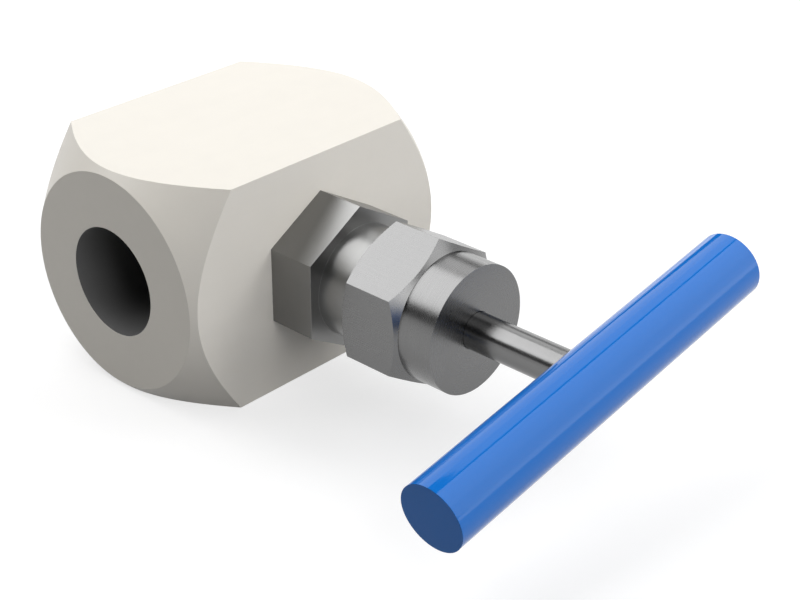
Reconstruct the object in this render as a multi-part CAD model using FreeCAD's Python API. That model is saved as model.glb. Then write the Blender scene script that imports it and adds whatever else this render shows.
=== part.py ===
import FreeCAD, Part
import math
import os

# Hand needle valve with two ports in line, a screwed bonnet, a packing nut and a T-bar handle.
# Frame: the valve stands on the lower flat of its body, whose centre is the origin.
# X runs along the ports, Z is up, and the stem points out of the body along -Y.
# "Out" is the distance from the port axis along the stem, towards the handle.

# Body: a piece of square bar with both ends turned to a cone
bar_width = 38.0
body_length = 54.5
end_face_diameter = 36.3
end_cone_angle = 45.0
port_bore = 18.2
wall_behind_port = 3.5
chamber_bore = 10.0
passage_bore = 4.0
well_depth = 12.5
inlet_passage_depth = 11.5
outlet_passage_height = 4.2
drill_margin = 1.5
bonnet_socket_floor = 6.0

# Seat, screwed into the bottom of the chamber with its top on the port axis
seat_height = 4.0
seat_orifice = 4.0
seat_chamfer = 0.5
seat_slot_width = 1.2
seat_slot_depth = 0.8
seat_gasket_thickness = 0.8
seat_gasket_bore = 5.6

# Bonnet: hexagon and neck in one piece, screwed into the body
bonnet_thread = 16.0
hex_across_flats = 21.9
bonnet_hex_height = 8.6
neck_diameter = 18.6
neck_visible_length = 6.5
bonnet_gasket_thickness = 1.2
bonnet_gasket_width = 2.4

# Packing round the stem, inside the neck: square-section rings between two steel rings
packing_bore = 11.0
packing_base_thickness = 1.4
packing_ring_thickness = 2.5
packing_top_thickness = 1.4

# Gland: a bush, pressed in by the packing nut through a washer
bush_engagement = 2.6
gland_take_up = 3.2
gland_washer_diameter = 14.0
gland_washer_thickness = 0.6

# Packing nut: a hexagon and a round collar in one piece
nut_hex_height = 11.0
nut_face_diameter = 21.6
nut_chamfer_angle = 30.0
collar_diameter = 20.8
collar_length = 6.3
wiper_width = 1.5
wiper_thickness = 1.4

# Stem: a screw spindle with a needle that swivels in its lower end
stem_diameter = 6.0
spindle_thread = 8.0
spindle_thread_pitch = 1.0
spindle_turns = 5
spindle_thread_length = 12.0
backseat_wall = 3.4
needle_diameter = 5.4
needle_half_angle = 30.0
needle_tip_diameter = 2.4
needle_body_length = 6.2
shank_diameter = 4.2
shank_length = 4.7
thrust_disc_thickness = 1.2
clip_width = 0.8
clip_thickness = 0.7
clip_gap_angle = 30.0

# Handle: a plain round bar across the end of the stem, held by a grub screw
handle_diameter = 10.8
handle_length = 69.2
handle_reach = 21.6
handle_turn = 9.6
handle_cover = 2.5
grub_diameter = 4.0
grub_bite = 0.4
grub_recess = 0.3
grub_socket_across = 2.0
grub_socket_depth = 1.1

# Clearances, each on the radius or on one side
running_gap = 0.05
thread_gap = 0.05
seated_gap = 0.02
loose_gap = 0.15
seat_gap = 0.1
backseat_gap = 0.15
cutter_overrun = 1.0

# Places along the stem, measured out from the port axis
port_height = bar_width / 2
body_face = bar_width / 2
bonnet_hex_end = body_face + bonnet_hex_height
nut_face = bonnet_hex_end + neck_visible_length
collar_start = nut_face + nut_hex_height
collar_end = collar_start + collar_length
handle_out = collar_end + handle_reach
stem_travel = spindle_thread_pitch * spindle_turns

seat_contact = -seat_chamfer + seat_gap
needle_slope = math.tan(math.radians(needle_half_angle))
needle_tip = seat_contact - (seat_orifice - needle_tip_diameter) / 2 / needle_slope
needle_cone_end = seat_contact + (needle_diameter - seat_orifice) / 2 / needle_slope
needle_shoulder = needle_cone_end + needle_body_length
shank_end = needle_shoulder + shank_length
thrust_disc_start = shank_end + seated_gap
thrust_disc_end = thrust_disc_start + thrust_disc_thickness
spindle_foot = needle_shoulder + loose_gap
socket_end = thrust_disc_end + running_gap
clip_place = (spindle_foot + shank_end) / 2
clip_groove_floor = (shank_diameter - clip_thickness) / 2
clip_groove_start = clip_place - clip_width / 2 - running_gap
clip_groove_end = clip_place + clip_width / 2 + running_gap
spindle_thread_end = spindle_foot + spindle_thread_length
backseat_start = spindle_thread_end + stem_travel + backseat_gap
packing_floor = backseat_start + backseat_wall

packing_rings = ["packing_ring_lower", "packing_ring_middle", "packing_ring_upper"]
first_ring = packing_floor + packing_base_thickness + seated_gap
ring_step = packing_ring_thickness + seated_gap
top_ring = first_ring + len(packing_rings) * ring_step
bush_foot = top_ring + packing_top_thickness + seated_gap
neck_end = bush_foot + bush_engagement
bush_end = neck_end + gland_take_up
nut_roof = bush_end + gland_washer_thickness
wiper_end = nut_roof + wiper_width

stem_end = handle_out + handle_diameter / 2 - handle_cover - running_gap


def turned(points, angle=360):
    # A closed outline of (out, radius) points, turned about the stem
    corners = [FreeCAD.Vector(radius, -out, 0) for out, radius in points]
    face = Part.Face(Part.makePolygon(corners + corners[:1]))
    return upright(face.revolve(FreeCAD.Vector(0, 0, 0), FreeCAD.Vector(0, 1, 0), angle))


def upright(solid):
    # Lifts a solid that was made round the stem from z = 0 to the height of the ports
    if solid.Volume < 0:
        solid.reverse()
    solid.translate(FreeCAD.Vector(0, 0, port_height))
    return solid


def tube(start, end, outer_radius, inner_radius):
    return turned([(start, inner_radius), (start, outer_radius), (end, outer_radius), (end, inner_radius)])


def rod(start, end, radius):
    return tube(start, end, radius, 0)


def hexagon(across_flats, start, end):
    # A hexagonal bar along the stem, with a corner at the top
    corner_radius = across_flats / math.sqrt(3)
    corners = []
    for corner in range(6):
        turn = math.radians(60 * corner)
        corners.append(FreeCAD.Vector(corner_radius * math.sin(turn), -start, corner_radius * math.cos(turn)))
    face = Part.Face(Part.makePolygon(corners + corners[:1]))
    return upright(face.extrude(FreeCAD.Vector(0, start - end, 0)))


def turned_about_ports(points):
    # A closed outline of (x, radius) points, turned about the axis of the ports
    corners = [FreeCAD.Vector(along, 0, radius) for along, radius in points]
    face = Part.Face(Part.makePolygon(corners + corners[:1]))
    return upright(face.revolve(FreeCAD.Vector(0, 0, 0), FreeCAD.Vector(1, 0, 0), 360))


def port(side):
    # One smooth port, flat at the bottom
    mouth = side * (body_length / 2 + cutter_overrun)
    floor = side * (bonnet_thread / 2 + wall_behind_port)
    radius = port_bore / 2
    return turned_about_ports([(floor, 0), (floor, radius), (mouth, radius), (mouth, 0)])


def passage(side, target_out):
    # A hole drilled on the slant through a port's mouth, down to the stem's axis
    mouth_out = port_bore / 2 - passage_bore / 2 - drill_margin
    if target_out > 0:
        mouth_out = -mouth_out
    start = FreeCAD.Vector(side * body_length / 2, -mouth_out, port_height)
    target = FreeCAD.Vector(0, -target_out, port_height)
    run = target - start
    return Part.makeCylinder(passage_bore / 2, run.Length, start, run)


def stem_cavity():
    # Everything bored into the body from its front face: bonnet socket, chamber, seat pocket and well
    socket_radius = bonnet_thread / 2 + thread_gap
    seat_pocket_floor = -seat_height - seat_gasket_thickness
    return turned([
        (body_face + cutter_overrun, 0),
        (body_face + cutter_overrun, socket_radius),
        (bonnet_socket_floor, socket_radius),
        (bonnet_socket_floor, chamber_bore / 2),
        (seat_pocket_floor, chamber_bore / 2),
        (seat_pocket_floor, passage_bore / 2),
        (-well_depth, passage_bore / 2),
        (-well_depth, 0),
    ])


def valve_body():
    corner = FreeCAD.Vector(-body_length / 2, -bar_width / 2, 0)
    bar = Part.makeBox(body_length, bar_width, bar_width, corner)
    over_corners = bar_width
    end_radius = end_face_diameter / 2
    cone_length = (over_corners - end_radius) / math.tan(math.radians(end_cone_angle))
    end = body_length / 2
    lathe_form = turned_about_ports([
        (-end, 0),
        (-end, end_radius),
        (-end + cone_length, over_corners),
        (end - cone_length, over_corners),
        (end, end_radius),
        (end, 0),
    ])
    body = bar.common(lathe_form)
    for cutter in [
        port(-1),
        port(1),
        passage(-1, -inlet_passage_depth),
        passage(1, outlet_passage_height),
        stem_cavity(),
    ]:
        body = body.cut(cutter)
    return body


def seat_insert():
    outer_radius = chamber_bore / 2 - seated_gap
    orifice_radius = seat_orifice / 2
    seat = turned([
        (-seat_height, orifice_radius),
        (-seat_height, outer_radius),
        (0, outer_radius),
        (0, orifice_radius + seat_chamfer),
        (-seat_chamfer, orifice_radius),
    ])
    # two slots for the key that screws the seat down
    slot_corner = FreeCAD.Vector(-chamber_bore, 0, port_height - seat_slot_width / 2)
    slot = Part.makeBox(2 * chamber_bore, seat_slot_depth, seat_slot_width, slot_corner)
    island = rod(-seat_height, seat_height, orifice_radius + 2 * seat_chamfer)
    return seat.cut(slot.cut(island))


def seat_gasket():
    start = -seat_height - seat_gasket_thickness
    return tube(start, -seat_height, chamber_bore / 2 - seated_gap, seat_gasket_bore / 2)


def bonnet_gasket():
    outer_radius = bonnet_thread / 2 - seated_gap
    end = bonnet_socket_floor + bonnet_gasket_thickness
    return tube(bonnet_socket_floor, end, outer_radius, outer_radius - bonnet_gasket_width)


def bonnet():
    foot = bonnet_socket_floor + bonnet_gasket_thickness
    outside = turned([
        (foot, 0),
        (foot, bonnet_thread / 2),
        (body_face, bonnet_thread / 2),
        (body_face, neck_diameter / 2),
        (neck_end, neck_diameter / 2),
        (neck_end, 0),
    ])
    thread_radius = spindle_thread / 2 + running_gap
    stem_hole = stem_diameter / 2 + running_gap
    inside = turned([
        (foot - cutter_overrun, 0),
        (foot - cutter_overrun, thread_radius),
        (backseat_start, thread_radius),
        (backseat_start, stem_hole),
        (packing_floor, stem_hole),
        (packing_floor, packing_bore / 2),
        (neck_end + cutter_overrun, packing_bore / 2),
        (neck_end + cutter_overrun, 0),
    ])
    return outside.fuse(hexagon(hex_across_flats, body_face, bonnet_hex_end)).cut(inside).removeSplitter()


def packing_section(start, thickness):
    # One ring between the stem and the packing bore
    return tube(start, start + thickness, packing_bore / 2 - seated_gap, stem_diameter / 2 + running_gap)


def packing_base_ring():
    return packing_section(packing_floor, packing_base_thickness)


def packing_ring(position):
    return packing_section(first_ring + position * ring_step, packing_ring_thickness)


def packing_top_ring():
    return packing_section(top_ring, packing_top_thickness)


def gland_bush():
    return tube(bush_foot, bush_end, packing_bore / 2 - running_gap, stem_diameter / 2 + running_gap)


def gland_washer():
    return tube(bush_end, nut_roof, gland_washer_diameter / 2, stem_diameter / 2 + loose_gap)


def packing_nut():
    corner_radius = hex_across_flats / math.sqrt(3)
    face_radius = nut_face_diameter / 2
    collar_radius = collar_diameter / 2
    slope = math.tan(math.radians(nut_chamfer_angle))
    beyond = corner_radius + cutter_overrun
    chamfered = turned([
        (nut_face, 0),
        (nut_face, face_radius),
        (nut_face + (beyond - face_radius) * slope, beyond),
        (collar_start - (beyond - collar_radius) * slope, beyond),
        (collar_start, collar_radius),
        (collar_start, 0),
    ])
    collar = rod(collar_start, collar_end, collar_radius)
    thread_radius = neck_diameter / 2 + thread_gap
    stem_hole = stem_diameter / 2 + running_gap
    pocket_radius = stem_diameter / 2 + wiper_thickness + 2 * running_gap
    inside = turned([
        (nut_face - cutter_overrun, 0),
        (nut_face - cutter_overrun, thread_radius),
        (nut_roof, thread_radius),
        (nut_roof, pocket_radius),
        (wiper_end + running_gap, pocket_radius),
        (wiper_end + running_gap, stem_hole),
        (collar_end + cutter_overrun, stem_hole),
        (collar_end + cutter_overrun, 0),
    ])
    nut = hexagon(hex_across_flats, nut_face, collar_start).common(chamfered)
    return nut.fuse(collar).cut(inside).removeSplitter()


def stem_wiper():
    inner_radius = stem_diameter / 2 + running_gap
    return tube(nut_roof, wiper_end, inner_radius + wiper_thickness, inner_radius)


def needle():
    shank_radius = shank_diameter / 2
    return turned([
        (needle_tip, 0),
        (needle_tip, needle_tip_diameter / 2),
        (needle_cone_end, needle_diameter / 2),
        (needle_shoulder, needle_diameter / 2),
        (needle_shoulder, shank_radius),
        (clip_groove_start, shank_radius),
        (clip_groove_start, clip_groove_floor),
        (clip_groove_end, clip_groove_floor),
        (clip_groove_end, shank_radius),
        (shank_end, shank_radius),
        (shank_end, 0),
    ])


def thrust_disc():
    return rod(thrust_disc_start, thrust_disc_end, shank_diameter / 2)


def needle_clip():
    # A snap ring, half in the needle's groove and half in the spindle's
    start = clip_groove_start + running_gap
    end = clip_groove_end - running_gap
    inner_radius = clip_groove_floor + running_gap
    outer_radius = inner_radius + clip_thickness
    section = [(start, inner_radius), (start, outer_radius), (end, outer_radius), (end, inner_radius)]
    return turned(section, 360 - clip_gap_angle)


def spindle():
    thread_radius = spindle_thread / 2
    stem_radius = stem_diameter / 2
    blank = turned([
        (spindle_foot, 0),
        (spindle_foot, thread_radius),
        (spindle_thread_end, thread_radius),
        (spindle_thread_end, stem_radius),
        (stem_end, stem_radius),
        (stem_end, 0),
    ])
    socket_radius = shank_diameter / 2 + running_gap
    groove_radius = clip_groove_floor + clip_thickness + 2 * running_gap
    socket = turned([
        (spindle_foot - cutter_overrun, 0),
        (spindle_foot - cutter_overrun, socket_radius),
        (clip_groove_start, socket_radius),
        (clip_groove_start, groove_radius),
        (clip_groove_end, groove_radius),
        (clip_groove_end, socket_radius),
        (socket_end, socket_radius),
        (socket_end, 0),
    ])
    return blank.cut(socket).cut(with_handle(grub_screw_form(running_gap)))


def with_handle(solid):
    # Puts a solid made about a level bar through the origin onto the stem, turned as the handle is
    solid.rotate(FreeCAD.Vector(0, 0, 0), FreeCAD.Vector(0, -1, 0), handle_turn)
    solid.translate(FreeCAD.Vector(0, -handle_out, port_height))
    return solid


def grub_screw_form(gap):
    # The screw's outside, or with a gap the hole that it leaves in the stem and the bar
    tip = stem_diameter / 2 - grub_bite - gap
    end = handle_diameter / 2 - grub_recess
    if gap > 0:
        end = handle_diameter
    start = FreeCAD.Vector(0, 0, -tip)
    return Part.makeCylinder(grub_diameter / 2 + gap, end - tip, start, FreeCAD.Vector(0, 0, -1))


def handle_bar():
    radius = handle_diameter / 2
    level = FreeCAD.Vector(1, 0, 0)
    bar = Part.makeCylinder(radius, handle_length, level * (-handle_length / 2), level)
    hole_depth = radius - handle_cover
    hole_start = FreeCAD.Vector(0, handle_diameter, 0)
    hole_length = handle_diameter + hole_depth
    hole_radius = stem_diameter / 2 + seated_gap
    stem_hole = Part.makeCylinder(hole_radius, hole_length, hole_start, FreeCAD.Vector(0, -1, 0))
    return with_handle(bar.cut(stem_hole).cut(grub_screw_form(seated_gap)))


def handle_screw():
    end = handle_diameter / 2 - grub_recess
    corners = []
    for corner in range(6):
        turn = math.radians(60 * corner)
        reach = grub_socket_across / math.sqrt(3)
        corners.append(FreeCAD.Vector(reach * math.cos(turn), reach * math.sin(turn), -end))
    face = Part.Face(Part.makePolygon(corners + corners[:1]))
    socket = face.extrude(FreeCAD.Vector(0, 0, grub_socket_depth))
    return with_handle(grub_screw_form(0).cut(socket))


pieces = {
    "valve_body": valve_body(),
    "seat_insert": seat_insert(),
    "seat_gasket": seat_gasket(),
    "bonnet_gasket": bonnet_gasket(),
    "bonnet": bonnet(),
    "packing_base_ring": packing_base_ring(),
    "packing_top_ring": packing_top_ring(),
    "gland_bush": gland_bush(),
    "gland_washer": gland_washer(),
    "packing_nut": packing_nut(),
    "stem_wiper": stem_wiper(),
    "needle": needle(),
    "thrust_disc": thrust_disc(),
    "needle_clip": needle_clip(),
    "spindle": spindle(),
    "handle_bar": handle_bar(),
    "handle_screw": handle_screw(),
}
for position, name in enumerate(packing_rings):
    pieces[name] = packing_ring(position)

os.makedirs("parts", exist_ok=True)
for name, solid in pieces.items():
    solid.exportStep("parts/" + name + ".step")
    print(name, "volume", round(solid.Volume, 2), "solids", len(solid.Solids), "valid", solid.isValid())
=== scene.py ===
import math
import bpy
from mathutils import Matrix, Vector


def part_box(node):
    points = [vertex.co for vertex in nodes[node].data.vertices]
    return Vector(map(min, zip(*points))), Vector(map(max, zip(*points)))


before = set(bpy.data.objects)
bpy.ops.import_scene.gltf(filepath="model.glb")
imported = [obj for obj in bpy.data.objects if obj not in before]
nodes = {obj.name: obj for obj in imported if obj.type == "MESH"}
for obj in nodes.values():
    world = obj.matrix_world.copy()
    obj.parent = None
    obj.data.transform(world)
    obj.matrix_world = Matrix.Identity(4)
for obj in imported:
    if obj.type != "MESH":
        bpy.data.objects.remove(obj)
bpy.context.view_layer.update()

# Hand needle valve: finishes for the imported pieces, a white floor and backdrop, soft studio light, a camera.
# Metres, Z up. The ports run along X, and the stem points out of the body along -Y.

print("frame loaded:", len(nodes), "pieces")

millimetre = 0.001
bodyLow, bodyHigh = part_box("valve_body")
stemHeight = (bodyLow.z + bodyHigh.z) / 2
bodyHalfLength = (bodyHigh.x - bodyLow.x) / 2
edgeStops = [(0.0, 0.0), (0.12, 1.0)]  # how far a normal has to turn to count as an edge
edgeSamples = 6


class Wire:
    # one socket of a shader tree; arithmetic on it adds Math nodes
    def __init__(self, tree, socket):
        self.tree = tree
        self.socket = socket

    def math(self, operation, first, second=0.0):
        return addNode(self.tree, "ShaderNodeMath", {"operation": operation}, {0: first, 1: second})

    def __add__(self, other):
        return self.math("ADD", self, other)

    def __radd__(self, other):
        return self.math("ADD", other, self)

    def __sub__(self, other):
        return self.math("SUBTRACT", self, other)

    def __rsub__(self, other):
        return self.math("SUBTRACT", other, self)

    def __mul__(self, other):
        return self.math("MULTIPLY", self, other)

    def __rmul__(self, other):
        return self.math("MULTIPLY", other, self)

    def __pow__(self, other):
        return self.math("POWER", self, other)

    def __rpow__(self, other):
        return self.math("POWER", other, self)

    def __gt__(self, other):
        return self.math("GREATER_THAN", self, other)

    def __lt__(self, other):
        return self.math("LESS_THAN", self, other)

    def __abs__(self):
        return self.math("ABSOLUTE", self)


def addNode(tree, nodeType, settings=None, inputs=None, output=0):
    # settings go in first, then the values or links of the sockets; the answer is a Wire
    node = tree.nodes.new(nodeType)
    for name, value in (settings or {}).items():
        if name == "stops":
            fillRamp(node.color_ramp, value)
        else:
            setattr(node, name, value)
    for name, value in (inputs or {}).items():
        if isinstance(value, Wire):
            tree.links.new(value.socket, node.inputs[name])
        else:
            node.inputs[name].default_value = value
    return Wire(tree, node.outputs[output]) if len(node.outputs) else None


def fillRamp(ramp, stops):
    # stops are pairs of a place and a level of grey
    while len(ramp.elements) < len(stops):
        ramp.elements.new(0.5)
    for element, (place, level) in zip(ramp.elements, stops):
        element.position = place
        element.color = grey(level)


def rgba(colour):
    return (*colour, 1.0)


def grey(level):
    return rgba([level] * 3)


def lighter(colour, factor, lift=0.0):
    return tuple(min(1.0, part * factor + lift) for part in colour)


class Finish:
    # one material under way, with the places on the piece that its maps are worked out from
    def __init__(self, name):
        self.material = bpy.data.materials.new(name)
        self.material.use_nodes = True
        self.tree = self.material.node_tree
        self.tree.nodes.clear()
        self.here = self.add("ShaderNodeTexCoord", output="Object")
        self.x, self.y, self.z = self.parts(self.here)
        self.lift = self.z - stemHeight  # height over the stem's axis

    def add(self, nodeType, settings=None, inputs=None, output=0):
        return addNode(self.tree, nodeType, settings, inputs, output)

    def parts(self, vector):
        node = self.add("ShaderNodeSeparateXYZ", inputs={0: vector}).socket.node
        return [Wire(self.tree, socket) for socket in node.outputs]

    def distance(self, first, second):
        return (first * first + second * second) ** 0.5

    def point(self, x, y):
        return self.add("ShaderNodeCombineXYZ", inputs={0: x, 1: y})

    def noise(self, place, size, stretch=(1.0, 1.0, 1.0)):
        # size is grains a metre, detail and roughness; stretch multiplies the first along each axis
        # the noise runs from about -0.5 to 0.5
        scale, detail, roughness = size
        spread = self.add("ShaderNodeVectorMath", {"operation": "MULTIPLY"}, {0: place, 1: stretch})
        inputs = {"Vector": spread, "Scale": scale, "Detail": detail, "Roughness": roughness}
        return self.add("ShaderNodeTexNoise", {"noise_dimensions": "3D"}, inputs) - 0.5

    def mix(self, factor, first, second):
        # blends two colours
        first, second = [colour if isinstance(colour, Wire) else rgba(colour) for colour in (first, second)]
        inputs = {"Factor": factor, 6: first, 7: second}  # 6 and 7 are its colour sockets
        return self.add("ShaderNodeMix", {"data_type": "RGBA"}, inputs, output=2)

    def blend(self, factor, first, second):
        # blends two numbers
        return first + (second - first) * factor

    def shade(self, colour, amount):
        return self.add("ShaderNodeVectorMath", {"operation": "SCALE"}, {0: colour, "Scale": amount})

    def edges(self, radius):
        # the surface's normal with its sharp edges rounded, and a mask that is 1 along those edges
        rounded = self.add("ShaderNodeBevel", {"samples": edgeSamples}, {"Radius": radius})
        flat = self.add("ShaderNodeNewGeometry", output="Normal")
        dot = {"operation": "DOT_PRODUCT"}
        along = self.add("ShaderNodeVectorMath", dot, {0: rounded, 1: flat}, output="Value")
        return rounded, self.add("ShaderNodeValToRGB", {"stops": edgeStops}, {"Fac": 1.0 - along})

    def bump(self, height, distance, normal):
        return self.add("ShaderNodeBump", inputs={"Height": height, "Distance": distance, "Normal": normal})

    def shader(self, sockets):
        return self.add("ShaderNodeBsdfPrincipled", inputs=sockets)

    def output(self, shader):
        self.add("ShaderNodeOutputMaterial", inputs={"Surface": shader})
        return self.material


def dress(material, name):
    slots = nodes[name].data.materials
    slots.clear()
    slots.append(material)


# body: pale satin finish on fine blasting, with the bores painted dark as painted shade inside the ports
bodyLook = {
    "colour": (0.800, 0.766, 0.700),
    "edgeColour": (0.86, 0.83, 0.77),
    "edgeWear": 0.6,
    # the bores' dark colour is painted shade, the darkness that falls inside the ports
    "boreShadeColour": (0.16, 0.16, 0.16),
    "roughness": 0.42,
    "boreRoughness": 0.12,  # more than the outside's
    "specular": 0.35,
    "portRadius": 9.14 * millimetre,
    "mouthMargin": 0.02 * millimetre,
    "edgeRadius": 0.08 * millimetre,
    "grain": (9000.0, 3.0, 0.6),
    "grainDepth": 0.006 * millimetre,
    "grainDulling": 0.08,
    "mottle": (160.0, 4.0, 0.6),
    "mottleTone": 0.05,
    "mottleDulling": 0.10,
    "streaks": (420.0, 3.0, 0.6),
    "streakStretch": (0.08, 1.0, 1.0),
    "streakTone": 0.02,
    "streakDepth": 0.4,  # in grain depths, as the rings'
    "rings": (2500.0, 2.0, 0.7),
    "ringDepth": 2.0,
}


def makeBodyFinish(look):
    finish = Finish("bodyFinish")
    rounded, edge = finish.edges(look["edgeRadius"])
    grain = finish.noise(finish.here, look["grain"])
    mottle = finish.noise(finish.here, look["mottle"])
    streaks = finish.noise(finish.here, look["streaks"], look["streakStretch"])
    rings = finish.noise(finish.point(finish.x, 0.0), look["rings"])
    withinPorts = finish.distance(finish.y, finish.lift) < look["portRadius"]
    bore = withinPorts * (abs(finish.x) < bodyHalfLength - look["mouthMargin"])
    plain = finish.mix(edge * look["edgeWear"], look["colour"], look["edgeColour"])
    shaded = finish.shade(plain, 1.0 + mottle * look["mottleTone"] + streaks * look["streakTone"])
    dulling = mottle * look["mottleDulling"] + grain * look["grainDulling"]
    height = grain * (1.0 - bore) + rings * bore * look["ringDepth"] + streaks * look["streakDepth"]
    return finish.output(finish.shader({
        "Base Color": finish.mix(bore, shaded, look["boreShadeColour"]),
        "Roughness": look["roughness"] + dulling + bore * look["boreRoughness"],
        "Specular IOR Level": look["specular"],
        "Normal": finish.bump(height, look["grainDepth"], rounded),
    }))


# turned steel: circular tool marks on round faces and drawn lines along the hexagons' flats;
# mark is their depth in millimetres
steelLook = {
    # the bonnet is the same steel as the packing nut; its lighter colour is a painted reflection, brightening
    # what its faces mirror of the body
    "bonnet": {"colour": (0.225, 0.225, 0.222), "roughness": 0.33, "mark": 0.0011},
    "packing_nut": {"colour": (0.175, 0.175, 0.175), "roughness": 0.27, "mark": 0.0011},
    "spindle": {"colour": (0.175, 0.175, 0.175), "roughness": 0.24, "mark": 0.001},
    "gland_washer": {"colour": (0.40, 0.40, 0.40), "roughness": 0.30, "mark": 0.003},
    "packing_base_ring": {"colour": (0.40, 0.40, 0.40), "roughness": 0.30, "mark": 0.003},
    "packing_top_ring": {"colour": (0.40, 0.40, 0.40), "roughness": 0.30, "mark": 0.003},
    "seat_insert": {"colour": (0.30, 0.30, 0.31), "roughness": 0.28, "mark": 0.003},
    "needle": {"colour": (0.36, 0.36, 0.37), "roughness": 0.20, "mark": 0.002},
    "thrust_disc": {"colour": (0.30, 0.30, 0.31), "roughness": 0.22, "mark": 0.002},
    "needle_clip": {"colour": (0.16, 0.16, 0.17), "roughness": 0.35, "mark": 0.002},
    "gland_bush": {"colour": (0.50, 0.33, 0.14), "roughness": 0.30, "mark": 0.003},
}
machining = {
    "edgeRadius": 0.05 * millimetre,
    "edgeWear": 0.5,
    "wornFactor": 1.35,
    "turned": (7000.0, 3.0, 0.7),
    "bands": (900.0, 2.0, 0.6),
    "drawn": (5200.0, 3.0, 0.6),
    "drawnStretch": (1.0, 0.02, 1.0),
    "handling": (240.0, 4.0, 0.65),
    "handlingTone": 0.08,
    "bandTone": 0.05,
    "markTone": 0.04,
    "handlingDulling": 0.08,
    "markDulling": 0.08,
    "bandDepth": 0.5,
    "flatsRadius": 10.5 * millimetre,  # the hexagons' flats lie further out than this
    "endOnLimit": 0.1,  # and don't face along the stem
}


def makeSteelFinish(name, look, marking):
    finish = Finish(name + "Steel")
    rounded, edge = finish.edges(marking["edgeRadius"])
    radius = finish.distance(finish.x, finish.lift)
    outwards = finish.y * -1.0
    ring = finish.point(outwards, radius)
    facing = finish.parts(finish.add("ShaderNodeNewGeometry", output="True Normal"))
    flats = (radius > marking["flatsRadius"]) * (abs(facing[1]) < marking["endOnLimit"])
    turned = finish.noise(ring, marking["turned"])
    bands = finish.noise(ring, marking["bands"])
    drawn = finish.noise(finish.here, marking["drawn"], marking["drawnStretch"])
    handling = finish.noise(finish.here, marking["handling"])
    marks = finish.blend(flats, turned, drawn)
    tone = handling * marking["handlingTone"] + bands * marking["bandTone"] + marks * marking["markTone"]
    dulling = handling * marking["handlingDulling"] + marks * marking["markDulling"]
    wornColour = lighter(look["colour"], marking["wornFactor"])
    worn = finish.mix(edge * marking["edgeWear"], look["colour"], wornColour)
    return finish.output(finish.shader({
        "Base Color": finish.shade(worn, 1.0 + tone),
        "Metallic": 1.0,
        "Roughness": look["roughness"] + dulling,
        "Normal": finish.bump(marks + bands * marking["bandDepth"], look["mark"] * millimetre, rounded),
    }))


# handle: a round bar with glossy blue enamel and duller sawn ends, the ends' blue painted darker as painted
# shade
handleLook = {
    "tilt": 9.6,  # degrees from level
    "colour": (0.006, 0.160, 0.590),
    "thinColour": (0.008, 0.174, 0.630),
    "roughness": 0.05,
    "specular": 0.30,
    # the ends' darker blue is painted shade on the end faces
    "endShadeColour": (0.006, 0.150, 0.520),
    "endRoughness": 0.30,
    "endSpecular": 0.12,
    "endMargin": 0.02 * millimetre,
    "edgeRadius": 0.10 * millimetre,
    "edgeWear": 0.5,
    "peel": (900.0, 2.0, 0.4),
    "peelDepth": 0.0015 * millimetre,
    "cloud": (90.0, 3.0, 0.5),
    "cloudTone": 0.4,
    "thinShare": 0.2,
    "dust": (5000.0, 2.0, 0.5),
    "dulling": 0.02,
    "endDulling": 0.10,
}


def makeHandleFinish(look):
    finish = Finish("handleEnamel")
    rounded, edge = finish.edges(look["edgeRadius"])
    peel = finish.noise(finish.here, look["peel"])
    cloud = finish.noise(finish.here, look["cloud"])
    dust = finish.noise(finish.here, look["dust"])
    thin = edge * look["edgeWear"] + cloud * look["cloudTone"] + look["thinShare"]
    normal = finish.bump(peel, look["peelDepth"], rounded)
    enamel = finish.shader({
        "Base Color": finish.mix(thin, look["colour"], look["thinColour"]),
        "Roughness": look["roughness"] + (cloud + dust) * look["dulling"],
        "Specular IOR Level": look["specular"],
        "Normal": normal,
    })
    # the end faces: duller, and a darker blue that is painted shade
    shadedSawnEnd = finish.shader({
        "Base Color": finish.mix(cloud + 0.5, look["endShadeColour"], look["colour"]),
        "Roughness": look["endRoughness"] + dust * look["endDulling"],
        "Specular IOR Level": look["endSpecular"],
        "Normal": normal,
    })
    # the end faces are where the way along the bar, from its middle, is half its length
    low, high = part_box("handle_bar")
    middle, size = (low + high) / 2, high - low
    cosine, sine = math.cos(math.radians(look["tilt"])), math.sin(math.radians(look["tilt"]))
    halfLength = (size.x - size.y * sine) / cosine / 2
    alongBar = (finish.x - middle.x) * cosine + (finish.z - middle.z) * sine
    onEnd = abs(alongBar) > halfLength - look["endMargin"]
    return finish.output(finish.add("ShaderNodeMixShader", inputs={0: onEnd, 1: enamel, 2: shadedSawnEnd}))


# small and inner pieces
plainLook = {
    "seat_gasket": {"colour": (0.78, 0.76, 0.70), "roughness": 0.5, "metal": 0.0, "grains": 2500.0},
    "bonnet_gasket": {"colour": (0.78, 0.76, 0.70), "roughness": 0.5, "metal": 0.0, "grains": 2500.0},
    "packing_ring_lower": {"colour": (0.84, 0.84, 0.81), "roughness": 0.45, "metal": 0.0, "grains": 1800.0},
    "packing_ring_middle": {"colour": (0.83, 0.83, 0.80), "roughness": 0.47, "metal": 0.0, "grains": 1800.0},
    "packing_ring_upper": {"colour": (0.85, 0.85, 0.82), "roughness": 0.43, "metal": 0.0, "grains": 1800.0},
    "stem_wiper": {"colour": (0.03, 0.03, 0.032), "roughness": 0.55, "metal": 0.0, "grains": 3000.0},
    "handle_screw": {"colour": (0.07, 0.07, 0.075), "roughness": 0.38, "metal": 1.0, "grains": 4000.0},
}
plainSurface = {
    "edgeRadius": 0.08 * millimetre,
    "edgeWear": 0.4,
    "grainDetail": 3.0,
    "grainRoughness": 0.6,
    "grainDepth": 0.004 * millimetre,
    "grainDulling": 0.10,
    "cloud": (300.0, 3.0, 0.5),
    "cloudTone": 0.5,
    "lightShare": 0.25,
    "lightFactor": 1.25,
    "lightLift": 0.01,
}


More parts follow.
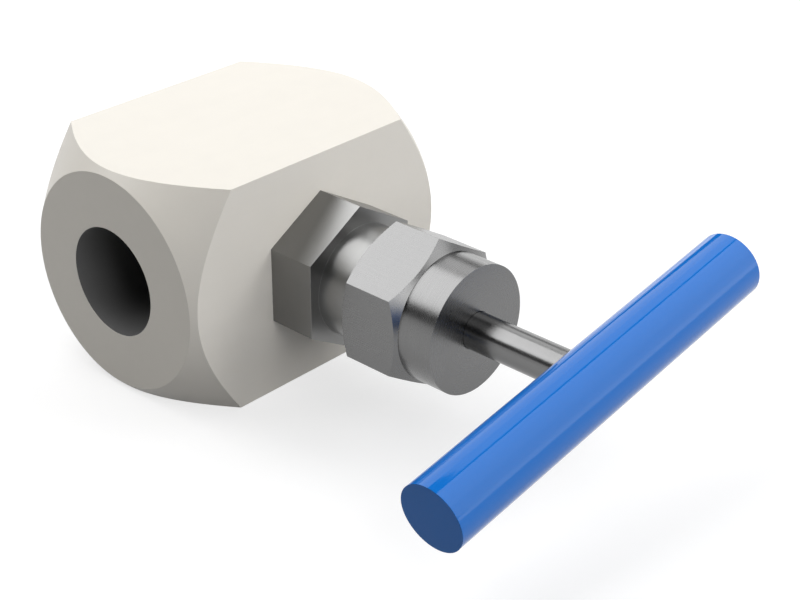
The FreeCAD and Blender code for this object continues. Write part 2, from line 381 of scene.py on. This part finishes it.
def makePlainFinish(name, look, surface):
    finish = Finish(name + "Finish")
    rounded, edge = finish.edges(surface["edgeRadius"])
    grain = finish.noise(finish.here, (look["grains"], surface["grainDetail"], surface["grainRoughness"]))
    cloud = finish.noise(finish.here, surface["cloud"])
    light = edge * surface["edgeWear"] + cloud * surface["cloudTone"] + surface["lightShare"]
    lightColour = lighter(look["colour"], surface["lightFactor"], surface["lightLift"])
    return finish.output(finish.shader({
        "Base Color": finish.mix(light, look["colour"], lightColour),
        "Metallic": look["metal"],
        "Roughness": look["roughness"] + grain * surface["grainDulling"],
        "Normal": finish.bump(grain, surface["grainDepth"], rounded),
    }))


dress(makeBodyFinish(bodyLook), "valve_body")
for name, look in steelLook.items():
    dress(makeSteelFinish(name, look, machining), name)
dress(makeHandleFinish(handleLook), "handle_bar")
for name, look in plainLook.items():
    dress(makePlainFinish(name, look, plainSurface), name)
print("finishes made:", len(bpy.data.materials))


# floor and backdrop: white to the camera and in the metal, darker as a source of bounced light;
# sizes are in metres and tones are levels of grey
floorLook = {
    "halfSize": 5.0,
    "wallHeight": 1.2,
    "fadeStart": 0.35,
    "fadeEnd": 1.0,
    "colour": 0.38,
    "glow": 0.68,
    "bounceColour": 0.20,
    "skyLevel": 0.03,
}


def seenDirectly(tree):
    # 1 for what the camera sees itself, in a reflection or through glass
    rays = addNode(tree, "ShaderNodeLightPath").socket.node
    camera, glossy, through = [
        Wire(tree, rays.outputs[name])
        for name in ("Is Camera Ray", "Is Glossy Ray", "Is Transmission Ray")
    ]
    return camera.math("MAXIMUM", camera, glossy.math("MAXIMUM", glossy, through))


def makeFloor(look):
    half, height = look["halfSize"], look["wallHeight"]
    corners = [(-half, -half), (half, -half), (half, half), (-half, half)]
    points = [(*corner, level) for level in (0, height) for corner in corners]
    walls = [(side, (side + 1) % 4, (side + 1) % 4 + 4, side + 4) for side in range(4)]
    mesh = bpy.data.meshes.new("studioFloor")
    mesh.from_pydata(points, [], [(0, 1, 2, 3)] + walls)
    floor = bpy.data.objects.new("studioFloor", mesh)
    bpy.context.scene.collection.objects.link(floor)
    material = bpy.data.materials.new("studioFloor")
    material.use_nodes = True
    tree = material.node_tree
    tree.nodes.clear()
    here = addNode(tree, "ShaderNodeTexCoord", output="Object")
    reach = addNode(tree, "ShaderNodeVectorMath", {"operation": "LENGTH"}, {0: here}, output="Value")
    # the glow grows to plain white where the lamps no longer reach
    far = addNode(tree, "ShaderNodeMapRange", {"interpolation_type": "SMOOTHSTEP"}, {
        "Value": reach,
        "From Min": look["fadeStart"],
        "From Max": look["fadeEnd"],
        "To Min": look["glow"],
        "To Max": 1.0,
    })
    lit = addNode(tree, "ShaderNodeBsdfDiffuse", inputs={"Color": grey(look["colour"])})
    glow = addNode(tree, "ShaderNodeEmission", inputs={"Color": far})
    shown = addNode(tree, "ShaderNodeAddShader", inputs={0: lit, 1: glow})
    bounce = addNode(tree, "ShaderNodeBsdfDiffuse", inputs={"Color": grey(look["bounceColour"])})
    surface = addNode(tree, "ShaderNodeMixShader", inputs={0: seenDirectly(tree), 1: bounce, 2: shown})
    addNode(tree, "ShaderNodeOutputMaterial", inputs={"Surface": surface})
    mesh.materials.append(material)


def makeWorld(look):
    world = bpy.data.worlds.new("studioWorld")
    bpy.context.scene.world = world
    world.use_nodes = True
    tree = world.node_tree
    tree.nodes.clear()
    sky = addNode(tree, "ShaderNodeBackground", inputs={"Color": grey(1.0), "Strength": look["skyLevel"]})
    addNode(tree, "ShaderNodeOutputWorld", inputs={"Surface": sky})


# softboxes: each spans x and hangs between a low and a high edge, given as (y, z), in metres;
# brightness is radiance
softboxes = {
    "key": {"x": (-0.66, 0.22), "low": (0.62, 0.44), "high": (0.24, 0.66), "brightness": 3.65},
    "keySide": {"x": (0.22, 0.58), "low": (0.66, 0.30), "high": (0.05, 0.62), "brightness": 1.8},
    "sideBack": {"x": (0.58, 1.00), "low": (0.66, 0.02), "high": (0.05, 0.62), "brightness": 1.0},
    "sideTop": {"x": (0.16, 0.58), "low": (-0.45, 0.40), "high": (0.00, 0.62), "brightness": 2.45},
    "sideMiddle": {"x": (0.20, 0.72), "low": (-0.75, 0.17), "high": (-0.45, 0.40), "brightness": 2.25},
    "sideFront": {"x": (0.38, 0.95), "low": (-0.95, 0.02), "high": (-0.75, 0.17), "brightness": 1.65},
    "fill": {"x": (-0.45, 0.10), "low": (-1.00, 0.03), "high": (-0.55, 0.75), "brightness": 2.6},
}


def addSoftbox(name, box):
    left, right = box["x"]
    low = Vector((left, *box["low"]))
    high = Vector((left, *box["high"]))
    across = Vector((right - left, 0, 0))
    up = high - low
    middle = (low + high + across) / 2
    facing = across.normalized().cross(up.normalized())
    if facing.dot(middle) < 0:
        facing.negate()  # a lamp shines along its own -Z, towards the valve
    side = up.normalized().cross(facing)
    light = bpy.data.lights.new(name + "Softbox", "AREA")
    light.shape = "RECTANGLE"
    light.size, light.size_y = across.length, up.length
    light.energy = box["brightness"] * math.pi * across.length * up.length
    lamp = bpy.data.objects.new(name + "Softbox", light)
    bpy.context.scene.collection.objects.link(lamp)
    turn = Matrix((side, up.normalized(), facing)).transposed().to_4x4()
    lamp.matrix_world = Matrix.Translation(middle) @ turn


makeFloor(floorLook)
makeWorld(floorLook)
for name, box in softboxes.items():
    addSoftbox(name, box)
print("studio lit:", len(softboxes), "softboxes")


# camera, at the photograph's viewing angle: degrees, metres, and millimetres for the lens and sensor
cameraLook = {
    "azimuth": -47.584,
    "elevation": 28.619,
    "roll": 0.355,
    "distance": 0.28948,
    "aim": (0.01364, -0.02357, 0.00832),
    "lens": 78.195,
    "sensorWidth": 36.0,
    "nearest": 0.01,
    "farthest": 50.0,
}


def addCamera(look):
    azimuth, elevation = math.radians(look["azimuth"]), math.radians(look["elevation"])
    back = Vector((
        math.sin(azimuth) * math.cos(elevation),
        -math.cos(azimuth) * math.cos(elevation),
        math.sin(elevation),
    ))
    camera = bpy.data.cameras.new("photoCamera")
    camera.lens = look["lens"]
    camera.sensor_width = look["sensorWidth"]
    camera.clip_start, camera.clip_end = look["nearest"], look["farthest"]
    holder = bpy.data.objects.new("photoCamera", camera)
    bpy.context.scene.collection.objects.link(holder)
    turn = back.to_track_quat("Z", "Y").to_matrix().to_4x4()
    roll = Matrix.Rotation(math.radians(look["roll"]), 4, "Z")
    holder.matrix_world = Matrix.Translation(Vector(look["aim"]) + back * look["distance"]) @ turn @ roll
    bpy.context.scene.camera = holder


addCamera(cameraLook)
bpy.context.scene.view_settings.view_transform = "Standard"
print("camera placed")
